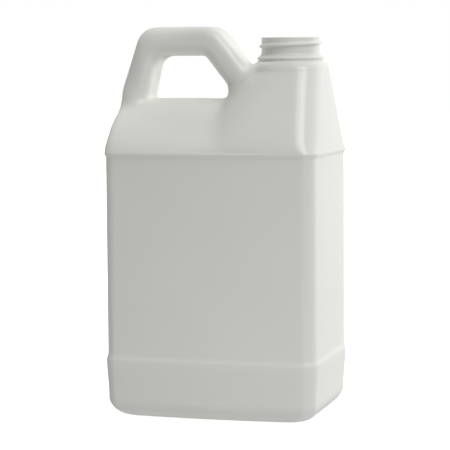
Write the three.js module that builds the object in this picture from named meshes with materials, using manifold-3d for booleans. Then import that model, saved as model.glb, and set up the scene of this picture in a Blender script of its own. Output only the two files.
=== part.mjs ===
// Half-gallon f-style jug in blow-moulded polyethylene: one hollow piece with an open threaded neck,
// a hollow grip handle in line with the neck, sloped shoulders and recessed label panels.
// Millimetres, +Z up, X along the broad faces with the neck at +X, origin at the centre of the base.
import * as THREE from 'three';
import { mergeVertices } from 'three/addons/utils/BufferGeometryUtils.js';
import Module from 'manifold-3d';

// Driving dimensions
const WALL = 1.2; // wall of the body, shoulders and handle
const BODY_W = 132.6; // over the base band and the ledge
const BODY_D = 99.0;
const BOW = 4.0; // how far the broad faces bulge in the middle
const CORNER_R = 9.4; // upright corners of the body, in plan
const PANEL_RECESS = 1.05; // label panel behind the band and the ledge
const BAND_TOP_Z = 36.0;
const LEDGE_Z = 160.3; // lower edge of the shoulders
const STEP_H = 2.4; // height of the slanted steps that frame the label panel
const HEEL_R = 11.5; // rounding from the walls to the base
const FOOT_CORNER_R = 11.0;
const BAND_DRAFT = 1.3; // how far the band draws in on its way down to the heel
const PUSH_UP = { inset: 25, slope: 5, height: 2.5 }; // hollow in the middle of the base

const CREST_Z = 192.8; // ridge of the low shoulder, under the grip
const LOW_SHOULDER = { rise: 1.25, round: 1.6 }; // exponents of its cross section
const END_TAPER = { left: 0.059, right: 0.085 }; // lean of the narrow ends above the ledge

const NECK_X = 40.6;
const TOWER_TOP_Z = 209.0; // where the high shoulder starts to close in to the collar
const TOWER_TOP = { left: 16.3, halfDepth: 24.4, cornerLeft: 23.6, cornerRight: 14.5 };
const TOWER_FOOT = { left: -24.0, cornerLeft: 40.0 };
const COLLAR_FOOT = { z: 215.0, radius: 20.0 };

const GRIP_DEPTH = 27.5; // handle, measured across the jug
const GRIP_EDGE_R = 6.0;
const HANDLE_TOP_Z = 236.4;
// Corners of the handle plate seen from the front: [x, z, rounding]
const HANDLE_OUTLINE = [
  [-65.6, 176.0, 0],
  [-64.6, 197.5, 26],
  [-51.8, HANDLE_TOP_Z, 12.5],
  [-3.9, HANDLE_TOP_Z, 14.6],
  [36.0, 186.2, 0],
  [36.0, 176.0, 0],
];
const GRIP_HOLE = [
  [-48.2, 191.8, 5],
  [3.2, 191.8, 4.5],
  [3.4, 200.3, 8],
  [-11.0, 218.8, 5],
  [-42.0, 218.8, 10],
];

const RIM_Z = 229.5;
const NECK_R = 17.5;
const BORE_R = 15.2;
const COLLAR = { foot: 215.7, radius: 20.2, groove: 19.4, top: 220.2 }; // flare under the thread
const THREAD = { depth: 1.35, height: 2.3, pitch: 4.23, turns: 0.925, startDeg: 160, startZ: 223.0 };

// Fineness of the faceted surface
const CORNER_STEPS = 5;
const BROAD_STEPS = 8;
const END_STEPS = 2;
const HEEL_STEPS = 6;
const NECK_STEPS = 40;
const FINEST = 0.004; // no facet is thinner than this

const wasm = await Module();
wasm.setup();

// A closed three.js geometry as a manifold solid, and back.
function toSolid(geometry) {
  const bare = geometry.clone();
  bare.deleteAttribute('normal');
  bare.deleteAttribute('uv');
  const merged = mergeVertices(bare, 1e-4);
  return new wasm.Manifold(new wasm.Mesh({
    numProp: 3,
    vertProperties: merged.attributes.position.array,
    triVerts: new Uint32Array(merged.index.array),
    tolerance: FINEST,
  }));
}

function toGeometry(solid) {
  const mesh = solid.getMesh();
  const geometry = new THREE.BufferGeometry();
  geometry.setAttribute('position', new THREE.BufferAttribute(mesh.vertProperties, 3));
  geometry.setIndex(new THREE.BufferAttribute(mesh.triVerts, 1));
  geometry.computeVertexNormals();
  return geometry;
}

// A skin over rings of equally many points, closed with a fan at each end.
function loft(rings) {
  const count = rings[0].length;
  const points = rings.flat();
  const index = [];
  for (let level = 0; level < rings.length - 1; level++) {
    for (let i = 0; i < count; i++) {
      const a = level * count + i;
      const b = level * count + ((i + 1) % count);
      index.push(a, b, b + count, a, b + count, a + count);
    }
  }
  const centre = (ring) => ring.reduce((sum, p) => sum.add(p), new THREE.Vector3()).divideScalar(count);
  const first = points.push(centre(rings[0])) - 1;
  const last = points.push(centre(rings.at(-1))) - 1;
  const top = (rings.length - 1) * count;
  for (let i = 0; i < count; i++) {
    const next = (i + 1) % count;
    index.push(first, next, i, last, top + i, top + next);
  }
  const geometry = new THREE.BufferGeometry().setFromPoints(points);
  geometry.setIndex(index);
  return geometry;
}

// One level of the body in plan: straight ends, bowed broad faces and round corners, anticlockwise.
function planRing({ z, left, right, halfDepth, bow = 0, cornerLeft, cornerRight }) {
  const depthAt = (x) => halfDepth - bow * (2 * x / BODY_W) ** 2;
  const ring = [];
  const arc = (cx, cy, radius, startDeg) => {
    for (let i = 0; i <= CORNER_STEPS; i++) {
      const angle = THREE.MathUtils.degToRad(startDeg + 90 * i / CORNER_STEPS);
      ring.push(new THREE.Vector3(cx + radius * Math.cos(angle), cy + radius * Math.sin(angle), z));
    }
  };
  const broad = (from, to, side) => {
    for (let i = 1; i < BROAD_STEPS; i++) {
      const x = THREE.MathUtils.lerp(from, to, i / BROAD_STEPS);
      ring.push(new THREE.Vector3(x, side * depthAt(x), z));
    }
  };
  const end = (x, from, to) => {
    for (let i = 1; i < END_STEPS; i++) {
      ring.push(new THREE.Vector3(x, THREE.MathUtils.lerp(from, to, i / END_STEPS), z));
    }
  };
  const xl = left + cornerLeft;
  const xr = right - cornerRight;
  const yl = depthAt(xl) - cornerLeft;
  const yr = depthAt(xr) - cornerRight;
  arc(xl, -yl, cornerLeft, 180);
  broad(xl, xr, -1);
  arc(xr, -yr, cornerRight, 270);
  end(right, -yr, yr);
  arc(xr, yr, cornerRight, 0);
  broad(xr, xl, 1);
  arc(xl, yl, cornerLeft, 90);
  end(left, yl, -yl);
  return ring;
}

// A level of the straight part of the body, drawn in all round by some distance.
function bodyRing(z, inset, corner = CORNER_R - inset) {
  const halfWidth = BODY_W / 2 - inset;
  return planRing({
    z,
    left: -halfWidth,
    right: halfWidth,
    halfDepth: BODY_D / 2 - inset,
    bow: BOW,
    cornerLeft: corner,
    cornerRight: corner,
  });
}

const leftEnd = (z) => -BODY_W / 2 + END_TAPER.left * Math.max(0, z - LEDGE_Z);
const rightEnd = (z) => BODY_W / 2 - END_TAPER.right * Math.max(0, z - LEDGE_Z);

// Heel, base band, recessed label panel, ledge, and the low shoulder that arches over to a ridge.
function bodyAndLowShoulder(inset) {
  const rings = [];
  for (let i = 0; i <= HEEL_STEPS; i++) {
    const angle = (Math.PI / 2) * (i / HEEL_STEPS);
    const drawnIn = BAND_DRAFT + (HEEL_R - inset) * (1 - Math.sin(angle)) + inset;
    const z = HEEL_R - (HEEL_R - inset) * Math.cos(angle);
    const corner = THREE.MathUtils.lerp(FOOT_CORNER_R, CORNER_R - BAND_DRAFT, i / HEEL_STEPS) - inset;
    rings.push(bodyRing(z, drawnIn, corner));
  }
  rings.push(bodyRing(BAND_TOP_Z - 1, inset));
  rings.push(bodyRing(BAND_TOP_Z, inset + PANEL_RECESS / 4));
  rings.push(bodyRing(BAND_TOP_Z + STEP_H, inset + PANEL_RECESS));
  rings.push(bodyRing(LEDGE_Z - STEP_H, inset + PANEL_RECESS));
  rings.push(bodyRing(LEDGE_Z, inset));
  for (const share of [0.06, 0.14, 0.25, 0.37, 0.5, 0.62, 0.73, 0.83, 0.91, 0.965, 0.99]) {
    const arch = (1 - share ** LOW_SHOULDER.rise) ** (1 / LOW_SHOULDER.round);
    const z = LEDGE_Z + (CREST_Z - inset - LEDGE_Z) * share;
    const halfDepth = (BODY_D / 2 - inset) * arch;
    const corner = Math.min(CORNER_R - inset, 0.8 * halfDepth);
    rings.push(planRing({
      z,
      left: leftEnd(z) + inset,
      right: THREE.MathUtils.lerp(BODY_W / 2 - inset, NECK_X, share),
      halfDepth,
      bow: BOW * arch * (1 - share),
      cornerLeft: corner,
      cornerRight: corner,
    }));
  }
  return toSolid(loft(rings));
}

// The high shoulder: it narrows from the ledge to a round top under the neck, then closes in to the collar.
function highShoulder(inset) {
  const mix = THREE.MathUtils.lerp;
  const rootInset = inset + 0.35;
  const rings = [planRing({
    z: LEDGE_Z - 3,
    left: TOWER_FOOT.left + rootInset,
    right: BODY_W / 2 - PANEL_RECESS - rootInset,
    halfDepth: BODY_D / 2 - PANEL_RECESS - rootInset,
    bow: BOW,
    cornerLeft: TOWER_FOOT.cornerLeft - rootInset,
    cornerRight: CORNER_R - rootInset,
  })];
  const levels = 6;
  for (let i = 0; i <= levels; i++) {
    const share = i / levels;
    const z = mix(LEDGE_Z, TOWER_TOP_Z, share);
    rings.push(planRing({
      z,
      left: mix(TOWER_FOOT.left, TOWER_TOP.left, share) + inset,
      right: rightEnd(z) - inset,
      halfDepth: mix(BODY_D / 2, TOWER_TOP.halfDepth, share) - inset,
      bow: BOW * (1 - share),
      cornerLeft: mix(TOWER_FOOT.cornerLeft, TOWER_TOP.cornerLeft, share) - inset,
      cornerRight: mix(CORNER_R, TOWER_TOP.cornerRight, share) - inset,
    }));
  }
  const closings = 3;
  for (let i = 1; i <= closings; i++) {
    const angle = (Math.PI / 2) * (i / closings);
    const out = 1 - Math.sin(angle) * 0.15 - (1 - Math.cos(angle)) * 0.85;
    const z = mix(TOWER_TOP_Z, COLLAR_FOOT.z - inset, Math.sin(angle));
    const radius = COLLAR_FOOT.radius - inset;
    rings.push(planRing({
      z,
      left: mix(NECK_X - radius, TOWER_TOP.left + inset, out),
      right: mix(NECK_X + radius, rightEnd(TOWER_TOP_Z) - inset, out),
      halfDepth: mix(radius, TOWER_TOP.halfDepth - inset, out),
      cornerLeft: mix(radius - 0.2, TOWER_TOP.cornerLeft - inset, out),
      cornerRight: mix(radius - 0.2, TOWER_TOP.cornerRight - inset, out),
    }));
  }
  return toSolid(loft(rings));
}

// A polygon with its edges moved outwards by a distance, each corner rounded by its own radius.
function roundedOutline(corners, outwards) {
  const turn = Math.sign(THREE.ShapeUtils.area(corners.map(([x, z]) => new THREE.Vector2(x, z))));
  const edges = corners.map(([x, z], i) => {
    const [nx, nz] = corners[(i + 1) % corners.length];
    const along = new THREE.Vector2(nx - x, nz - z).normalize();
    const normal = new THREE.Vector2(along.y, -along.x).multiplyScalar(turn);
    return { along, normal, start: new THREE.Vector2(x, z).addScaledVector(normal, outwards) };
  });
  return corners.flatMap(([, , radius], i) => {
    const before = edges[(i + corners.length - 1) % corners.length];
    const after = edges[i];
    const cross = before.along.cross(after.along);
    const gap = after.start.clone().sub(before.start);
    const vertex = before.start.clone().addScaledVector(before.along, gap.cross(after.along) / cross);
    const r = radius > 0 ? radius + outwards : 0;
    if (r <= 0) return [vertex];
    const bend = Math.abs(Math.asin(THREE.MathUtils.clamp(cross, -1, 1)));
    const angle = before.along.dot(after.along) < 0 ? Math.PI - bend : bend;
    const reach = r * Math.tan(angle / 2);
    const from = vertex.clone().addScaledVector(before.along, -reach);
    const centre = from.clone().addScaledVector(before.normal, -r);
    const steps = Math.max(2, Math.ceil(angle / THREE.MathUtils.degToRad(15)));
    return Array.from({ length: steps + 1 }, (_, k) =>
      from.clone().rotateAround(centre, turn * angle * (k / steps)));
  });
}

// The handle with its grip hole: a plate in the middle plane with fully rounded edges.
function handlePlate(inset) {
  const shape = new THREE.Shape(roundedOutline(HANDLE_OUTLINE, -inset));
  shape.holes.push(new THREE.Path(roundedOutline(GRIP_HOLE, inset)));
  const edge = GRIP_EDGE_R - inset;
  const geometry = new THREE.ExtrudeGeometry(shape, {
    depth: GRIP_DEPTH - 2 * GRIP_EDGE_R,
    bevelThickness: edge,
    bevelSize: edge,
    bevelOffset: -edge,
    bevelSegments: 4,
  });
  geometry.translate(0, 0, -(GRIP_DEPTH / 2 - GRIP_EDGE_R));
  geometry.rotateX(Math.PI / 2);
  return toSolid(geometry);
}

function turned(profile) {
  const points = profile.map(([radius, z]) => new THREE.Vector2(radius, z));
  const geometry = new THREE.LatheGeometry(points, NECK_STEPS);
  geometry.rotateX(Math.PI / 2);
  geometry.translate(NECK_X, 0, 0);
  return toSolid(geometry);
}

// Flared collar, neck wall and rim, solid until the bore is cut.
function neck() {
  const rounding = 0.4;
  return turned([
    [0, COLLAR_FOOT.z - 3],
    [COLLAR.groove, COLLAR_FOOT.z - 3],
    [COLLAR.groove, COLLAR.foot - 0.5],
    [COLLAR.radius, COLLAR.foot],
    [COLLAR.radius - 0.1, COLLAR.foot + 0.5],
    [NECK_R, COLLAR.top],
    [NECK_R, RIM_Z - rounding],
    [NECK_R - rounding, RIM_Z],
    [0, RIM_Z],
  ]);
}

// The thread: a ridge with a sloped top and a flat underside, winding upwards and fading at its ends.
function thread() {
  const steps = Math.round(NECK_STEPS * THREAD.turns);
  const fade = 5;
  const rings = [];
  for (let i = 0; i <= steps; i++) {
    const share = Math.min(1, (i + 0.6) / fade, (steps - i + 0.6) / fade);
    const angle = THREE.MathUtils.degToRad(THREAD.startDeg) + (2 * Math.PI * i) / NECK_STEPS;
    const z = THREAD.startZ + (THREAD.pitch * i) / NECK_STEPS;
    const crest = NECK_R + THREAD.depth * share;
    const section = [
      [NECK_R - 0.6, z + 0.3 + THREAD.height * share],
      [crest, z + 0.5 * share],
      [crest, z],
      [NECK_R - 0.6, z - 0.3],
    ];
    rings.push(section.map(([radius, height]) => new THREE.Vector3(
      NECK_X + radius * Math.cos(angle),
      radius * Math.sin(angle),
      height,
    )));
  }
  return toSolid(loft(rings));
}

// The hollow under the base, which leaves a standing ring all round.
function basePushUp() {
  const { inset, slope, height } = PUSH_UP;
  const below = 1;
  return toSolid(loft([
    bodyRing(-below, inset - slope * (below / height), FOOT_CORNER_R),
    bodyRing(height, inset + slope, FOOT_CORNER_R),
  ]));
}

// Everything that one blow mould shapes, drawn in by the wall for the cavity.
function moulded(inset) {
  return bodyAndLowShoulder(inset).add(highShoulder(inset)).add(handlePlate(inset));
}

function cavity() {
  const { inset, slope, height } = PUSH_UP;
  const floor = toSolid(loft([
    bodyRing(0, inset - WALL - slope / 2, FOOT_CORNER_R),
    bodyRing(height + WALL, inset + slope - WALL, FOOT_CORNER_R),
  ]));
  const bore = turned([
    [0, TOWER_TOP_Z - 6],
    [BORE_R, TOWER_TOP_Z - 6],
    [BORE_R, RIM_Z + 5],
    [0, RIM_Z + 5],
  ]);
  return moulded(WALL).subtract(floor).add(bore);
}

const jugSolid = moulded(0).add(neck()).add(thread()).subtract(basePushUp()).subtract(cavity());

const jug = new THREE.Mesh(
  toGeometry(jugSolid),
  new THREE.MeshStandardMaterial({ color: 0xe2e2dc, roughness: 0.38, metalness: 0 }),
);
jug.name = 'jug';

const part = new THREE.Group();
part.add(jug);
export default part;
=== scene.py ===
import math

import bmesh
import bpy
from mathutils import Matrix, Vector
from mathutils.bvhtree import BVHTree


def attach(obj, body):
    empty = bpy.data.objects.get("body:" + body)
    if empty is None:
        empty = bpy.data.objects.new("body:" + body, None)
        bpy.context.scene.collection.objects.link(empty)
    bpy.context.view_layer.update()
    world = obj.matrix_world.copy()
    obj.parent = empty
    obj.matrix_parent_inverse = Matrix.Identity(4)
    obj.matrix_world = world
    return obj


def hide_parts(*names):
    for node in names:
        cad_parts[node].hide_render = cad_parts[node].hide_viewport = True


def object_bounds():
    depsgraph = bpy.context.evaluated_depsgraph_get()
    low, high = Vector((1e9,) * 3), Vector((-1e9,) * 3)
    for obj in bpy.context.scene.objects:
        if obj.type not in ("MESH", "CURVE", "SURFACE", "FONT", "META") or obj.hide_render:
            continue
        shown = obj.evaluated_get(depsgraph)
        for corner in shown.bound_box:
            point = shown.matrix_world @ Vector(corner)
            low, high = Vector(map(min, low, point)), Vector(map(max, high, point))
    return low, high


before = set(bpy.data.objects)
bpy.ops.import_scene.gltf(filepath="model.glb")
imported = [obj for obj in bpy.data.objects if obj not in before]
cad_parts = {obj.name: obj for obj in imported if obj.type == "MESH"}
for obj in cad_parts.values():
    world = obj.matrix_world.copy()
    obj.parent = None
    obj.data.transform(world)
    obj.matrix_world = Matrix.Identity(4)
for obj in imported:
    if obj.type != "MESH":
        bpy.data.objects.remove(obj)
cad_box = [[float(c) for c in corner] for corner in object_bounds()]

# Lower body: the straight part of the jug, from its foot to the ledge under the shoulders. It is blown
# polyethylene, with a rounded heel, a base band, and a label panel set back all round between the band
# and the ledge. Sizes are in millimetres until the mesh is finished, and the overall ones are the CAD's.
BODY_W, BODY_D, JUG_H = (round(1000 * (high - low), 2) for low, high in zip(*cad_box))
BOW = 4.0
CORNER_R, FOOT_CORNER_R, CORNER_DEEP = 9.0, 10.6, 1.15
CORNER_CUTS, BROAD_CUTS, END_CUTS = 8, 26, 14
HEEL_R, HEEL_CUTS = 11.5, 14
BAND_TOP, BAND_DRAFT = 36.0, 1.3
LEDGE, JOIN = 160.3, 160.9
PANEL_SET_BACK = 1.05

# Rings of the shallow hollow under the foot: height above the skin's lowest ring, inset, corner radius.
HOLLOW_OUTSIDE = ((2.5, 30, 8), (2.3, 29, 8), (0.3, 24.4, 9), (0, 23.4, 9))
HOLLOW_INSIDE = ((2.5, 27.5, 8), (0, 22, 9))

# Levels above the heel: the drafted band, the flat panel, and the soft steps into it and out of it.
BAND_LEVELS = ((17, 0.95), (23, 0.55), (30, 0.15))
PANEL_LEVELS = (60, 85, 110, 135)
STEP_SHARES = (0, 0.05, 0.22, 0.52, 0.8, 0.96, 1)
ABOVE_BAND_TOP = (-1.6, -0.8, 0, 0.8, 1.6, 2.5, 3.4)
BELOW_LEDGE = (0, 0.4, 0.9, 1.4, 1.9, 2.4, 3.0)
LIP_INSET = 0.08


def mix(a, b, share):
    return a + (b - a) * share


def plan(left, right, half_depth, bow, corner_left, corner_right, deep_left=1.0, deep_right=1.0):
    """Points of a rounded rectangle with bowed broad faces, anticlockwise from the left front corner.

    A corner reaches as far along the broad face as it says, and deep times that along the narrow end.
    """
    points = []

    def depth(x):
        return half_depth - bow * (2 * x / BODY_W) ** 2

    def corner(x, y, reach, deep, start):
        for i in range(CORNER_CUTS + 1):
            turn = math.radians(start + 90 * i / CORNER_CUTS)
            points.append((x + reach * math.cos(turn), y + reach * deep * math.sin(turn)))

    def broad(x0, x1, side):
        for i in range(1, BROAD_CUTS):
            x = mix(x0, x1, i / BROAD_CUTS)
            points.append((x, side * depth(x)))

    def end(x, y0, y1):
        points.extend((x, mix(y0, y1, i / END_CUTS)) for i in range(1, END_CUTS))

    xl, xr = left + corner_left, right - corner_right
    yl, yr = depth(xl) - corner_left * deep_left, depth(xr) - corner_right * deep_right
    corner(xl, -yl, corner_left, deep_left, 180)
    broad(xl, xr, -1)
    corner(xr, -yr, corner_right, deep_right, 270)
    end(right, -yr, yr)
    corner(xr, yr, corner_right, deep_right, 0)
    broad(xr, xl, 1)
    corner(xl, yl, corner_left, deep_left, 90)
    end(left, yl, -yl)
    return points


def skin(bm, sections, closed=True):
    """Extrudes one ring through sections of equally many points, and caps the first and the last."""
    order = bm.verts.layers.int.new("order")
    ring = bmesh.ops.create_circle(bm, segments=len(sections[0]), radius=1)["verts"]
    for i, (vert, point) in enumerate(zip(ring, sections[0])):
        vert[order] = i
        vert.co = point
    edges = list({edge for vert in ring for edge in vert.link_edges})
    bmesh.ops.contextual_create(bm, geom=edges)
    for section in sections[1:]:
        made = bmesh.ops.extrude_edge_only(bm, edges=edges)["geom"]
        edges = [g for g in made if isinstance(g, bmesh.types.BMEdge)]
        for vert in (g for g in made if isinstance(g, bmesh.types.BMVert)):
            vert.co = section[vert[order]]
    if closed:
        bmesh.ops.contextual_create(bm, geom=edges)


def body_section(z, inset, corner=None):
    """A level ring of the body, inset from its overall width and depth."""
    corner = CORNER_R - inset if corner is None else corner
    half_w, half_d = BODY_W / 2 - inset, BODY_D / 2 - inset
    outline = plan(-half_w, half_w, half_d, BOW, corner, corner, CORNER_DEEP, CORNER_DEEP)
    return [(x, y, z) for x, y in outline]


def lower_body(bm, wall):
    """The skin drawn in by wall, open at the top; wall 0 is the outside."""
    hollow = HOLLOW_INSIDE if wall else HOLLOW_OUTSIDE
    sections = [body_section(z + wall, inset, corner) for z, inset, corner in hollow]
    for i in range(HEEL_CUTS + 1):
        turn = math.pi / 2 * i / HEEL_CUTS
        inset = BAND_DRAFT + (HEEL_R - wall) * (1 - math.sin(turn)) + wall
        corner = mix(FOOT_CORNER_R, CORNER_R - BAND_DRAFT, i / HEEL_CUTS) - wall
        sections.append(body_section(HEEL_R - (HEEL_R - wall) * math.cos(turn), inset, corner))
    levels = [(z, share * BAND_DRAFT) for z, share in BAND_LEVELS]
    levels += [(BAND_TOP + up, share * PANEL_SET_BACK) for up, share in zip(ABOVE_BAND_TOP, STEP_SHARES)]
    levels += [(z, PANEL_SET_BACK) for z in PANEL_LEVELS]
    steps = zip(reversed(BELOW_LEDGE), reversed(STEP_SHARES))
    levels += [(LEDGE - down, share * PANEL_SET_BACK) for down, share in steps]
    levels += [(mix(LEDGE, JOIN, 0.5), LIP_INSET / 4), (JOIN, LIP_INSET)]
    sections += [body_section(z, inset + wall) for z, inset in levels]
    skin(bm, sections, closed=False)


# Shoulders: the low one arches over from the ledge to a ridge under the grip, and the high one narrows
# to the round foot of the neck. They are blown in one with the body, so every meeting line is a soft
# hollow rather than an edge.
NECK_X = 40.6
SHOULDER_CUTS = 32
RIDGE, LEFT_LEAN, RIGHT_LEAN = 192.8, 0.012, 0.079
ARCH_RISE, ARCH_ROUND, ARCH_CORNER = 1.25, 1.6, 0.8
LOW_ROOT, LOW_ROOT_INSET = 8.0, 1.5
HIGH_ROOT, HIGH_ROOT_INSET = 6.0, 0.35
FOOT_LEFT, FOOT_CORNER_LEFT = -24.0, 40.0
TOWER_TOP, TOWER_DEEP, TOWER_ROLL = 209.0, 1.2, 6.0
TOP_LEFT, TOP_CORNER_LEFT, TOP_CORNER_RIGHT, TOP_HALF_DEPTH = 16.3, 23.6, 14.5, 24.4
COLLAR_FOOT, COLLAR_R, DOME_CUTS, DOME_SLOPE = 215.2, 20.0, 8, 0.15

# Powers that crowd the rings towards the ridge or the ledge, or widen the right corners soon above it.
TO_RIDGE, TO_LEDGE, SOON = 1.25, 1.5, 14
RIDGE_STOP = 0.995


def low_shoulder(bm, wall):
    """An arch whose right end draws back under the neck; its last ring stops just short of the ridge."""
    sections = [body_section(LEDGE - LOW_ROOT, wall + LOW_ROOT_INSET)]
    for i in range(SHOULDER_CUTS + 1):
        share = 1 - (1 - RIDGE_STOP * i / SHOULDER_CUTS) ** TO_RIDGE
        arch = (1 - share ** ARCH_RISE) ** (1 / ARCH_ROUND)
        z = mix(LEDGE, RIDGE - wall, share)
        half = (BODY_D / 2 - wall) * arch
        corner = min(CORNER_R - wall, ARCH_CORNER * half)
        left = -BODY_W / 2 + LEFT_LEAN * (z - LEDGE) + wall
        right = mix(BODY_W / 2 - wall, NECK_X, share)
        deep = mix(CORNER_DEEP, 1, share)
        outline = plan(left, right, half, BOW * arch * (1 - share), corner, corner, deep, deep)
        sections.append([(x, y, z) for x, y in outline])
    skin(bm, sections)


def high_shoulder(bm, wall):
    """A tower that starts upright at the ledge and leans in above it, under a dome that ends in a circle."""

    def right_at(z):
        return BODY_W / 2 - RIGHT_LEAN * (z - LEDGE) - wall

    root = wall + HIGH_ROOT_INSET + PANEL_SET_BACK
    outlines = [(LEDGE - HIGH_ROOT, (
        FOOT_LEFT + root, BODY_W / 2 - root, BODY_D / 2 - root, BOW,
        FOOT_CORNER_LEFT - root, CORNER_R - root, 1, CORNER_DEEP,
    ))]
    tall = TOWER_TOP - LEDGE
    leaned_in = math.hypot(tall, TOWER_ROLL) - TOWER_ROLL
    for i in range(SHOULDER_CUTS + 1):
        share = (i / SHOULDER_CUTS) ** TO_LEDGE
        z = mix(LEDGE, TOWER_TOP, share)
        roll = (math.hypot(share * tall, TOWER_ROLL) - TOWER_ROLL) / leaned_in
        corner_right = mix(CORNER_R, TOP_CORNER_RIGHT, 1 - (1 - share) ** SOON)
        outlines.append((z, (
            mix(FOOT_LEFT, TOP_LEFT, share) + wall, right_at(z),
            mix(BODY_D / 2, TOP_HALF_DEPTH, roll) - wall, BOW * (1 - share),
            mix(FOOT_CORNER_LEFT, TOP_CORNER_LEFT, share) - wall, corner_right - wall,
            1, mix(CORNER_DEEP, TOWER_DEEP, min(1, 4 * share)),
        )))
    radius = COLLAR_R - wall
    round_corner = radius - 0.2
    for i in range(1, DOME_CUTS + 1):
        turn = math.pi / 2 * i / DOME_CUTS
        out = 1 - DOME_SLOPE * math.sin(turn) - (1 - DOME_SLOPE) * (1 - math.cos(turn))
        outlines.append((mix(TOWER_TOP, COLLAR_FOOT - wall, math.sin(turn)), (
            mix(NECK_X - radius, TOP_LEFT + wall, out), mix(NECK_X + radius, right_at(TOWER_TOP), out),
            mix(radius, TOP_HALF_DEPTH - wall, out), 0,
            mix(round_corner, TOP_CORNER_LEFT - wall, out), mix(round_corner, TOP_CORNER_RIGHT - wall, out),
            1, mix(1, TOWER_DEEP, out),
        )))
    skin(bm, [[(x, y, z) for x, y in plan(*outline)] for z, outline in outlines])


# Grip: a hollow handle in line with the neck, which leaves the low shoulder at its left end, runs level
# above it, and comes down at a slant to the high shoulder. It is blown with the jug, and its section is
# a rounded rectangle. Each point of its two side lines is x, z and the radius of the bend there.
GRIP_DEPTH = 27.5
GRIP_OUTSIDE = (
    (-66.2, 170.0, 0), (-65.9, 197.5, 26), (-52.8, JUG_H, 12.5),
    (-3.9, JUG_H, 14.6), (22.8, 203.4, 5), (40.0, 181.3, 0),
)
GRIP_INSIDE = (
    (-48.8, 170.0, 0), (-48.0, 191.6, 26), (-42.2, 218.8, 9),
    (-11.0, 218.8, 5), (3.4, 200.3, 8), (3.0, 178.9, 0),
)
STRAIGHT_CUTS, BEND_CUTS = 10, 9
GRIP_OUTER_R, LEG_INNER_R, BAR_INNER_R = 7.2, 11.5, 6.2
LEG_END, LEG_TO_BAR = -40, 25
FLARE_TOP, FLARE_TALL, FLARE = 206, 28, 9


def bent_line(corners):
    """Points along straight runs and round bends, equally many for any line with as many corners."""
    points = [Vector(corners[0][:2])]

    def run_to(goal):
        start = points[-1].copy()
        points.extend(start.lerp(goal, k / STRAIGHT_CUTS) for k in range(1, STRAIGHT_CUTS + 1))

    for last, (x, z, radius), following in zip(corners, corners[1:], corners[2:]):
        here = Vector((x, z))
        before = (Vector(last[:2]) - here).normalized()
        after = (Vector(following[:2]) - here).normalized()
        half = before.angle(after) / 2
        reach = radius / math.tan(half)
        first, end = here + before * reach, here + after * reach
        run_to(first)
        centre = here + (before + after).normalized() * (radius / math.sin(half))
        whole = (first - centre).angle_signed(end - centre)
        for k in range(1, BEND_CUTS + 1):
            spoke = first - centre
            spoke.rotate(Matrix.Rotation(-whole * k / BEND_CUTS, 2))
            points.append(centre + spoke)
    run_to(Vector(corners[-1][:2]))
    return points


def grip(bm, wall):
    """Rounded sections between the two side lines; the left leg flares at its foot."""
    sections = []
    for outside, inside in zip(bent_line(GRIP_OUTSIDE), bent_line(GRIP_INSIDE)):
        across = outside - inside
        width = across.length - 2 * wall
        across.normalize()
        middle = (outside + inside) / 2
        flare, inner = 0, LEG_INNER_R
        if middle.x < LEG_END:
            flare = max(0, (FLARE_TOP - middle.y) / FLARE_TALL)
        else:
            inner = mix(LEG_INNER_R, BAR_INNER_R, min(1, (middle.x - LEG_END) / LEG_TO_BAR))
        half_depth = GRIP_DEPTH / 2 - wall + FLARE * flare ** 2
        section = plan(-width / 2, width / 2, half_depth, 0, GRIP_OUTER_R - wall, inner - wall)
        sections.append([(middle.x + across.x * p, q, middle.y + across.y * p) for p, q in section])
    skin(bm, sections)


# Meeting lines: the shoulders and the grip are run together into one skin, and melted to soft hollows
# where they meet, as blown plastic is. The broad hollows are the high shoulder's left flank and the
# handle's outer foot. A round of melting is how near the next form lies, and how much it is smoothed.
MELT_ROUNDS = ((12, 14), (9, 14), (6.5, 16), (4.5, 24))
NARROW_REACH = 5
FLANK_LEFT, FLANK_RIGHT, OUTER_FOOT, MELT_END = -12, 34, -52, 45


def add_to(whole, part):
    """Moves a finished bmesh into the one that gathers the parts."""
    mesh = bpy.data.meshes.new("part")
    part.to_mesh(mesh)
    part.free()
    whole.from_mesh(mesh)
    bpy.data.meshes.remove(mesh)


def make_object(bm, name):
    mesh = bpy.data.meshes.new(name)
    bm.to_mesh(mesh)
    bm.free()
    made = bpy.data.objects.new(name, mesh)
    bpy.context.scene.collection.objects.link(made)
    return made


def melts(point, gap, reach):
    in_broad_hollow = FLANK_LEFT < point.x < FLANK_RIGHT or point.x < OUTER_FOOT
    return gap < reach and point.x < MELT_END and (reach < NARROW_REACH or in_broad_hollow)


def upper_part(wall, voxel):
    """Shoulders and grip as one skin: joined in voxels, laid back on their true forms, then melted."""
    trees, whole = [], bmesh.new()
    for form in (low_shoulder, high_shoulder, grip):
        bm = bmesh.new()
        form(bm, wall)
        bmesh.ops.recalc_face_normals(bm, faces=bm.faces)
        trees.append(BVHTree.FromBMesh(bm))
        add_to(whole, bm)
    block = make_object(whole, "upper_part")
    remesh = block.modifiers.new("join", "REMESH")
    remesh.mode = "VOXEL"
    remesh.voxel_size = voxel
    made = bmesh.new()
    made.from_object(block, bpy.context.evaluated_depsgraph_get())
    bpy.data.meshes.remove(block.data)

    near = {}
    for vert in made.verts:
        hits = sorted((tree.find_nearest(vert.co) for tree in trees), key=lambda hit: hit[3])
        near[vert] = (hits[0][0], hits[1][3])
    for vert, (point, _) in near.items():
        vert.co = point
    for reach, spread in MELT_ROUNDS:
        soft = [vert for vert, (point, gap) in near.items() if melts(point, gap, reach)]
        for _ in range(int(spread / voxel ** 2)):
            bmesh.ops.smooth_vert(
                made, verts=soft, factor=0.5, use_axis_x=True, use_axis_y=True, use_axis_z=True
            )
    return made


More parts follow.
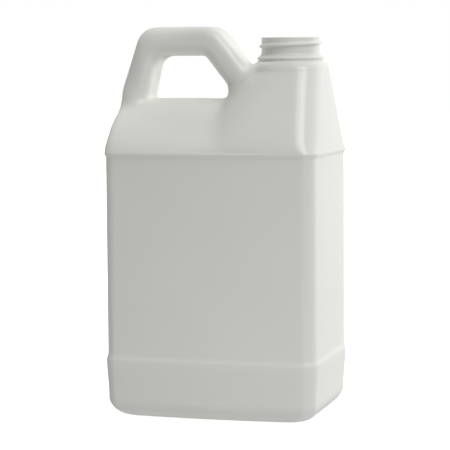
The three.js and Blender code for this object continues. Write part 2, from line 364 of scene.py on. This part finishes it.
# Neck: a short round spout, blown with the jug, with a flared collar, a one-turn screw thread for a cap,
# and a plain rim. It is the only opening, and shows the thickness of the wall at the rim. Each point of
# its profile is a radius and a height.
OPENING, RIM, NECK_R, BORE_R = 214.5, 229.5, 17.5, 15.2
NECK_CUTS = 220
COLLAR_PROFILE = [
    (20.6, OPENING + 0.15), (19.95, 214.95), (19.6, 215.35), (19.55, 215.8), (19.7, 216.25), (20.05, 216.55),
    (20.2, 216.8), (20.15, 217.05), (19.9, 217.35), (19.1, 218.0), (18.4, 218.6), (17.9, 219.05),
    (17.62, 219.5), (NECK_R + 0.03, 220.1),
]
WALL_FOOT, WALL_CUTS, WALL_PITCH = 220.3, 45, 0.2
RIM_PROFILE = [
    (NECK_R - 0.1, RIM - 0.2), (NECK_R - 0.35, RIM - 0.04), (NECK_R - 0.6, RIM), (BORE_R + 0.5, RIM),
    (BORE_R + 0.2, RIM - 0.06), (BORE_R + 0.03, RIM - 0.3), (BORE_R, RIM - 1), (BORE_R, RIM - 4),
]
BORE_PROFILE = [
    (BORE_R, RIM - 8), (BORE_R, 218), (BORE_R + 0.3, 216), (BORE_R + 1, 214.4), (BORE_R + 2.4, 213.5),
]
THREAD_DEPTH, THREAD_PITCH, THREAD_TURNS = 1.45, 4.23, 0.925
THREAD_START, THREAD_Z, THREAD_RUN_OUT = 160, 223.1, 0.07
FLANK_FOOT, STEEP_FLANK, THREAD_TALL, EASY_FLANK = 0.35, 0.45, 2.3, 1.8


def thread_height(turn, z):
    """How far the thread stands out, at an angle in degrees and a height."""
    along = (turn - THREAD_START) % 360 / 360
    fade = max(0, min(1, along / THREAD_RUN_OUT, (THREAD_TURNS - along) / THREAD_RUN_OUT))
    above = z - (THREAD_Z + THREAD_PITCH * along)
    lift = max(0, min(1, (above + FLANK_FOOT) / STEEP_FLANK, (THREAD_TALL - above) / EASY_FLANK))
    return THREAD_DEPTH * fade * lift * lift * (3 - 2 * lift)


def neck(bm):
    wall_profile = [(NECK_R, WALL_FOOT + WALL_PITCH * i) for i in range(WALL_CUTS)]
    profile = COLLAR_PROFILE + wall_profile + RIM_PROFILE + BORE_PROFILE
    verts = [bm.verts.new((NECK_X + radius, 0, z)) for radius, z in profile]
    edges = [bm.edges.new(pair) for pair in zip(verts, verts[1:])]
    bmesh.ops.spin(
        bm, geom=verts + edges, cent=(NECK_X, 0, 0), axis=(0, 0, 1), angle=2 * math.pi, steps=NECK_CUTS,
        use_merge=True,
    )
    bmesh.ops.remove_doubles(bm, verts=bm.verts, dist=1e-4)
    for vert in bm.verts:
        out = vert.co - Vector((NECK_X, 0, vert.co.z))
        on_wall = out.length > NECK_R - 0.05 and vert.co.z > WALL_FOOT - 0.1
        if on_wall:
            turn = math.degrees(math.atan2(out.y, out.x))
            vert.co += out.normalized() * thread_height(turn, vert.co.z)


# The whole jug: one closed wall of white polyethylene. Its outside and its inside are each a lower body
# and an upper part, and they meet at the neck. The plastic is faintly cloudy and warm, with a satin
# shine, a slow ripple from the mould and a fine grain.
WALL = 1.2
OUTSIDE_VOXEL, INSIDE_VOXEL = 0.95, 1.6
SEAM_GAP = 0.8
NECK_FOOT_X, NECK_FOOT_Z = 18.9, 208
SHADE, LIGHT = (0.742, 0.748, 0.702, 1), (0.768, 0.772, 0.73, 1)
CLOUDS_PER_M, RIPPLES_PER_M, GRAINS_PER_M = 22.0, 60.0, 900.0


def cut_level(bm, geom, height, side):
    """Cuts geom level at a height, and clears what lies above it (side 1) or below it (side -1)."""
    bmesh.ops.bisect_plane(
        bm, geom=geom, dist=1e-5, plane_co=(0, 0, height), plane_no=(0, 0, side), clear_outer=True
    )


def bridge(bm, low, high):
    """Joins the open edges that lie between two heights."""
    rims = [edge for edge in bm.edges if edge.is_boundary]
    between = [edge for edge in rims if all(low < vert.co.z < high for vert in edge.verts)]
    bmesh.ops.bridge_loops(bm, edges=between)


jug_mesh = bmesh.new()
for wall, voxel in ((0, OUTSIDE_VOXEL), (WALL, INSIDE_VOXEL)):
    lower = bmesh.new()
    lower_body(lower, wall)
    upper = upper_part(wall, voxel)
    cut_level(upper, upper.verts[:] + upper.edges[:] + upper.faces[:], JOIN + SEAM_GAP, -1)
    centres = ((face, face.calc_center_median()) for face in upper.faces)
    faces = [face for face, co in centres if co.x > NECK_FOOT_X and co.z > NECK_FOOT_Z]
    edges = {edge for face in faces for edge in face.edges}
    verts = {vert for face in faces for vert in face.verts}
    cut_level(upper, faces + list(edges) + list(verts), OPENING - wall, 1)
    add_to(jug_mesh, lower)
    add_to(jug_mesh, upper)
    bridge(jug_mesh, 0, JOIN + 2 * SEAM_GAP)

spout = bmesh.new()
neck(spout)
add_to(jug_mesh, spout)
for height in (OPENING, OPENING - WALL):
    bridge(jug_mesh, height - SEAM_GAP / 2, height + SEAM_GAP / 2)
bmesh.ops.recalc_face_normals(jug_mesh, faces=jug_mesh.faces)
bmesh.ops.scale(jug_mesh, vec=(0.001, 0.001, 0.001), verts=jug_mesh.verts)
for face in jug_mesh.faces:
    face.smooth = True
jug = make_object(jug_mesh, "jug_wall")


class Wire:
    """A shader socket that takes part in sums. One with no socket only starts new nodes."""

    def __init__(self, tree, socket=None):
        self.tree, self.socket = tree, socket

    def node(self, kind, output, settings=None, sockets=None):
        """Adds a node, with its settings and the values or links of its sockets, and returns an output."""
        made = self.tree.nodes.new(kind)
        for name, value in (settings or {}).items():
            setattr(made, name, value)
        for name, value in (sockets or {}).items():
            if isinstance(value, Wire):
                value.feed(made.inputs[name])
            else:
                made.inputs[name].default_value = value
        return Wire(self.tree, made.outputs[output])

    def feed(self, socket):
        self.tree.links.new(self.socket, socket)

    def maths(self, operation, first, second):
        return self.node("ShaderNodeMath", 0, {"operation": operation}, {0: first, 1: second})

    def __add__(self, other):
        return self.maths("ADD", self, other)

    def __radd__(self, other):
        return self.maths("ADD", other, self)

    def __sub__(self, other):
        return self.maths("SUBTRACT", self, other)

    def __rsub__(self, other):
        return self.maths("SUBTRACT", other, self)

    def __mul__(self, other):
        return self.maths("MULTIPLY", self, other)

    def __rmul__(self, other):
        return self.maths("MULTIPLY", other, self)


plastic = bpy.data.materials.new("moulded_polyethylene")
plastic.use_nodes = True
surface = plastic.node_tree.nodes["Principled BSDF"].inputs
start = Wire(plastic.node_tree)
place = start.node("ShaderNodeTexCoord", "Object")


def noise(per_metre, detail):
    sockets = {"Vector": place, "Scale": per_metre, "Detail": detail}
    return start.node("ShaderNodeTexNoise", "Fac", sockets=sockets)


cloud, ripple, grain = noise(CLOUDS_PER_M, 3.0), noise(RIPPLES_PER_M, 2.0), noise(GRAINS_PER_M, 2.0)
tint = start.node("ShaderNodeMix", 2, {"data_type": "RGBA"}, {0: cloud, 6: SHADE, 7: LIGHT})
tint.feed(surface["Base Color"])
roughness = 0.28 + 0.05 * cloud + 0.05 * grain
roughness.feed(surface["Roughness"])
relief = 0.1 * grain + 0.5 * ripple
bump = {"Strength": 0.25, "Distance": 0.0004, "Height": relief}
start.node("ShaderNodeBump", "Normal", sockets=bump).feed(surface["Normal"])
surface["IOR"].default_value = 1.56
jug.data.materials.append(plastic)
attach(jug, "root")
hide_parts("jug")

# Floor: a sheet of plain white paper, big enough to run past every edge of the picture. It glows a little,
# so that it stays as white as the surround, and it lights nothing. From here on sizes are in metres.
FLOOR_HALF, FLOOR_Z = 6, -0.0002

sheet = bmesh.new()
bmesh.ops.create_grid(
    sheet, x_segments=1, y_segments=1, size=FLOOR_HALF, matrix=Matrix.Translation((0, 0, FLOOR_Z))
)
floor = make_object(sheet, "floor")
paper = bpy.data.materials.new("floor_paper")
paper.use_nodes = True
finish = paper.node_tree.nodes["Principled BSDF"].inputs
finish["Base Color"].default_value = (0.9, 0.9, 0.9, 1)
finish["Roughness"].default_value = 0.9
finish["Emission Color"].default_value = (1, 1, 1, 1)
finish["Emission Strength"].default_value = 0.6
floor.data.materials.append(paper)
floor.visible_diffuse = False
floor.visible_glossy = False


# Lights: a soft key from the front right, the only one that shines in the plastic, a soft one behind and
# one overhead for the shoulders, a panel to the right and behind for the narrow side, and a weak one low
# in front, as light thrown up by the floor.
def soft_light(name, strength, spread, towards, shines=False):
    """A wide lamp far away, towards a direction as seen from the jug."""
    data = bpy.data.lights.new(name, "SUN")
    data.energy = strength
    data.angle = math.radians(spread)
    light = bpy.data.objects.new(name, data)
    bpy.context.scene.collection.objects.link(light)
    light.rotation_euler = Vector(towards).to_track_quat("Z", "Y").to_euler()
    light.visible_glossy = shines


def panel_light(name, watts, width, height, stand, aim):
    """A flat lamp near the jug, turned towards a point and out of sight."""
    data = bpy.data.lights.new(name, "AREA")
    data.shape = "RECTANGLE"
    data.energy = watts
    data.size = width
    data.size_y = height
    light = bpy.data.objects.new(name, data)
    bpy.context.scene.collection.objects.link(light)
    light.location = stand
    light.rotation_euler = (Vector(stand) - Vector(aim)).to_track_quat("Z", "Y").to_euler()
    light.visible_camera = False
    light.visible_glossy = False


soft_light("key_light", 1.2, 32, (0.54, -0.455, 0.707), shines=True)
soft_light("back_light", 1.5, 50, (-0.35, 0.62, 0.7))
soft_light("top_light", 0.75, 40, (0.0, -0.15, 0.98))
panel_light("side_light", 2.1, 0.3, 0.3, (0.38, 0.41, 0.34), (0.06, 0, 0.15))
panel_light("floor_bounce", 0.015, 0.2, 0.04, (0.03, -0.19, 0.03), (0.01, 0, 0.05))

# Surround: white where the camera sees it. The light that it gives is weaker, more of it from low down
# than from above, and what the plastic mirrors is darker to the left, as in a studio lit from the right.
LOW_GLOW, HIGH_GLOW, LEFT_MIRROR = 0.76, 0.2, 0.3

world = bpy.data.worlds.new("white_surround")
bpy.context.scene.world = world
world.use_nodes = True
backdrop = world.node_tree.nodes["Background"].inputs
sky = Wire(world.node_tree)
way = sky.node("ShaderNodeTexCoord", "Generated")


def eased(axis, first, last, at_first, at_last):
    """A value that changes softly with how far a ray points along an axis."""
    along = sky.node("ShaderNodeSeparateXYZ", axis, sockets={"Vector": way})
    return sky.node("ShaderNodeMapRange", "Result", {"interpolation_type": "SMOOTHSTEP"}, {
        "Value": along, "From Min": first, "From Max": last, "To Min": at_first, "To Max": at_last,
    })


diffuse = sky.node("ShaderNodeLightPath", "Is Diffuse Ray")
glossy = sky.node("ShaderNodeLightPath", "Is Glossy Ray")
lit = eased("Z", -0.45, 0.1, LOW_GLOW, HIGH_GLOW)
mirrored = eased("X", -0.2, 0.2, LEFT_MIRROR, 1.0)
strength = 1 - diffuse * (1 - lit) - glossy * (1 - mirrored)
strength.feed(backdrop["Strength"])
backdrop["Color"].default_value = (1, 1, 1, 1)
bpy.context.scene.view_settings.view_transform = "Standard"

# Camera: a long lens, a little above the middle of the jug, 16 degrees round to its right. It looks
# slightly down, and leans by less than half a degree. Angles are in degrees.
AZIMUTH, DISTANCE, EYE_HEIGHT = 16.038, 1.1806, 0.21876
SWING, TIP, LEAN = AZIMUTH + 0.072, 5.043, -0.390

camera_data = bpy.data.cameras.new("camera")
camera_data.lens = 153.62
camera_data.sensor_width = 36
camera = bpy.data.objects.new("camera", camera_data)
bpy.context.scene.collection.objects.link(camera)
aim = Matrix.Rotation(math.radians(SWING), 4, "Z") @ Matrix.Rotation(math.radians(90 - TIP), 4, "X")
stand = Matrix.Rotation(math.radians(AZIMUTH), 4, "Z") @ Vector((0, -DISTANCE, EYE_HEIGHT))
camera.matrix_world = Matrix.Translation(stand) @ aim @ Matrix.Rotation(math.radians(LEAN), 4, "Z")
bpy.context.scene.camera = camera
